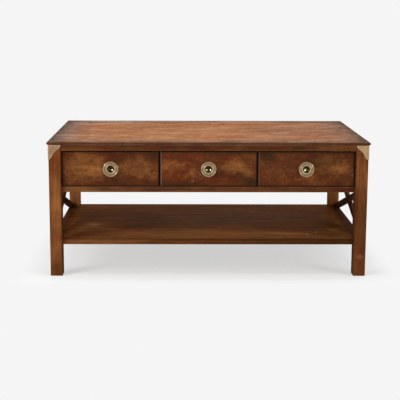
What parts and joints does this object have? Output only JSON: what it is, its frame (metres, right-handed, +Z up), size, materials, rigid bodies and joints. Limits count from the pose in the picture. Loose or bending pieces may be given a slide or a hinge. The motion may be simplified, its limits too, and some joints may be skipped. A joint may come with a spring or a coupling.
{
  "type": "coffee table",
  "caption": "Low rectangular wooden table with inset drawers in a row, round flush ring pulls, brass corner brackets, a lower shelf and crossed bars at the ends.",
  "frame": {"origin": "on the floor, under the middle of the table", "axes": "+X along the table to the right of someone facing the drawers, +Y to the back, so the drawers open towards -Y, +Z up"},
  "size_m": [1.1, 0.7, 0.466],
  "materials": {
    "top_wood": "satin lacquer over streaky brown stain",
    "leg_wood": "satin lacquer over reddish brown stain",
    "rail_wood": "satin lacquer over reddish brown stain",
    "burr_veneer": "satin lacquer over mottled veneer with dark edges",
    "shelf_wood": "satin lacquer over dark brown stain",
    "brace_wood": "satin lacquer over reddish brown stain",
    "panel_wood": "satin lacquer over reddish brown stain",
    "inner_wood": "plain sanded wood",
    "bracket_brass": "aged satin brass",
    "screw_brass": "aged satin brass",
    "plate_brass": "aged brass, darker in the dish",
    "ring_brass": "aged brass, rubbed bright",
    "pin_brass": "dull brass",
    "steel": "zinc plated"
  },
  "bodies": {
    "table": {"back_apron": "panel_wood", "brace_left_falling": "brace_wood", "brace_left_rising": "brace_wood", "brace_right_falling": "brace_wood", "brace_right_rising": "brace_wood", "bracket_back_left": "bracket_brass", "bracket_back_right": "bracket_brass", "bracket_front_left": "bracket_brass", "bracket_front_right": "bracket_brass", "bracket_screws": "screw_brass", "divider_left": "rail_wood", "divider_right": "rail_wood", "drawer_stops": "inner_wood", "front_bottom_rail": "rail_wood", "front_top_rail": "rail_wood", "inner_runners": "inner_wood", "kickers": "inner_wood", "leg_back_left": "leg_wood", "leg_back_right": "leg_wood", "leg_front_left": "leg_wood", "leg_front_right": "leg_wood", "outer_runners": "inner_wood", "shelf_panel": "shelf_wood", "shelf_rail_left": "shelf_wood", "shelf_rail_right": "shelf_wood", "side_apron_left": "panel_wood", "side_apron_right": "panel_wood", "top_edge_back": "top_wood", "top_edge_front": "top_wood", "top_edge_left": "top_wood", "top_edge_right": "top_wood", "top_panel": "top_wood", "top_screws": "steel"},
    "drawer_left": {"drawer_left_back": "inner_wood", "drawer_left_bottom": "inner_wood", "drawer_left_front": "burr_veneer", "drawer_left_left_side": "inner_wood", "drawer_left_right_side": "inner_wood", "pull_left_nut": "steel", "pull_left_pin": "pin_brass", "pull_left_plate": "plate_brass"},
    "ring_left": {"pull_left_ring": "ring_brass"},
    "drawer_middle": {"drawer_middle_back": "inner_wood", "drawer_middle_bottom": "inner_wood", "drawer_middle_front": "burr_veneer", "drawer_middle_left_side": "inner_wood", "drawer_middle_right_side": "inner_wood", "pull_middle_nut": "steel", "pull_middle_pin": "pin_brass", "pull_middle_plate": "plate_brass"},
    "ring_middle": {"pull_middle_ring": "ring_brass"},
    "drawer_right": {"drawer_right_back": "inner_wood", "drawer_right_bottom": "inner_wood", "drawer_right_front": "burr_veneer", "drawer_right_left_side": "inner_wood", "drawer_right_right_side": "inner_wood", "pull_right_nut": "steel", "pull_right_pin": "pin_brass", "pull_right_plate": "plate_brass"},
    "ring_right": {"pull_right_ring": "ring_brass"}
  },
  "joints": [
    {"name": "drawer_left_slide", "type": "slide", "parent": "table", "child": "drawer_left", "axis": [0, -1, 0], "range_m": [0, 0.38]},
    {"name": "ring_left_swing", "type": "hinge", "parent": "drawer_left", "child": "ring_left", "pos_m": [-0.335, -0.3336, 0.38995], "axis": [-1, 0, 0], "range_deg": [0, 90]},
    {"name": "drawer_middle_slide", "type": "slide", "parent": "table", "child": "drawer_middle", "axis": [0, -1, 0], "range_m": [0, 0.38]},
    {"name": "ring_middle_swing", "type": "hinge", "parent": "drawer_middle", "child": "ring_middle", "pos_m": [0, -0.3336, 0.38995], "axis": [-1, 0, 0], "range_deg": [0, 90]},
    {"name": "drawer_right_slide", "type": "slide", "parent": "table", "child": "drawer_right", "axis": [0, -1, 0], "range_m": [0, 0.38]},
    {"name": "ring_right_swing", "type": "hinge", "parent": "drawer_right", "child": "ring_right", "pos_m": [0.335, -0.3336, 0.38995], "axis": [-1, 0, 0], "range_deg": [0, 90]}
  ]
}
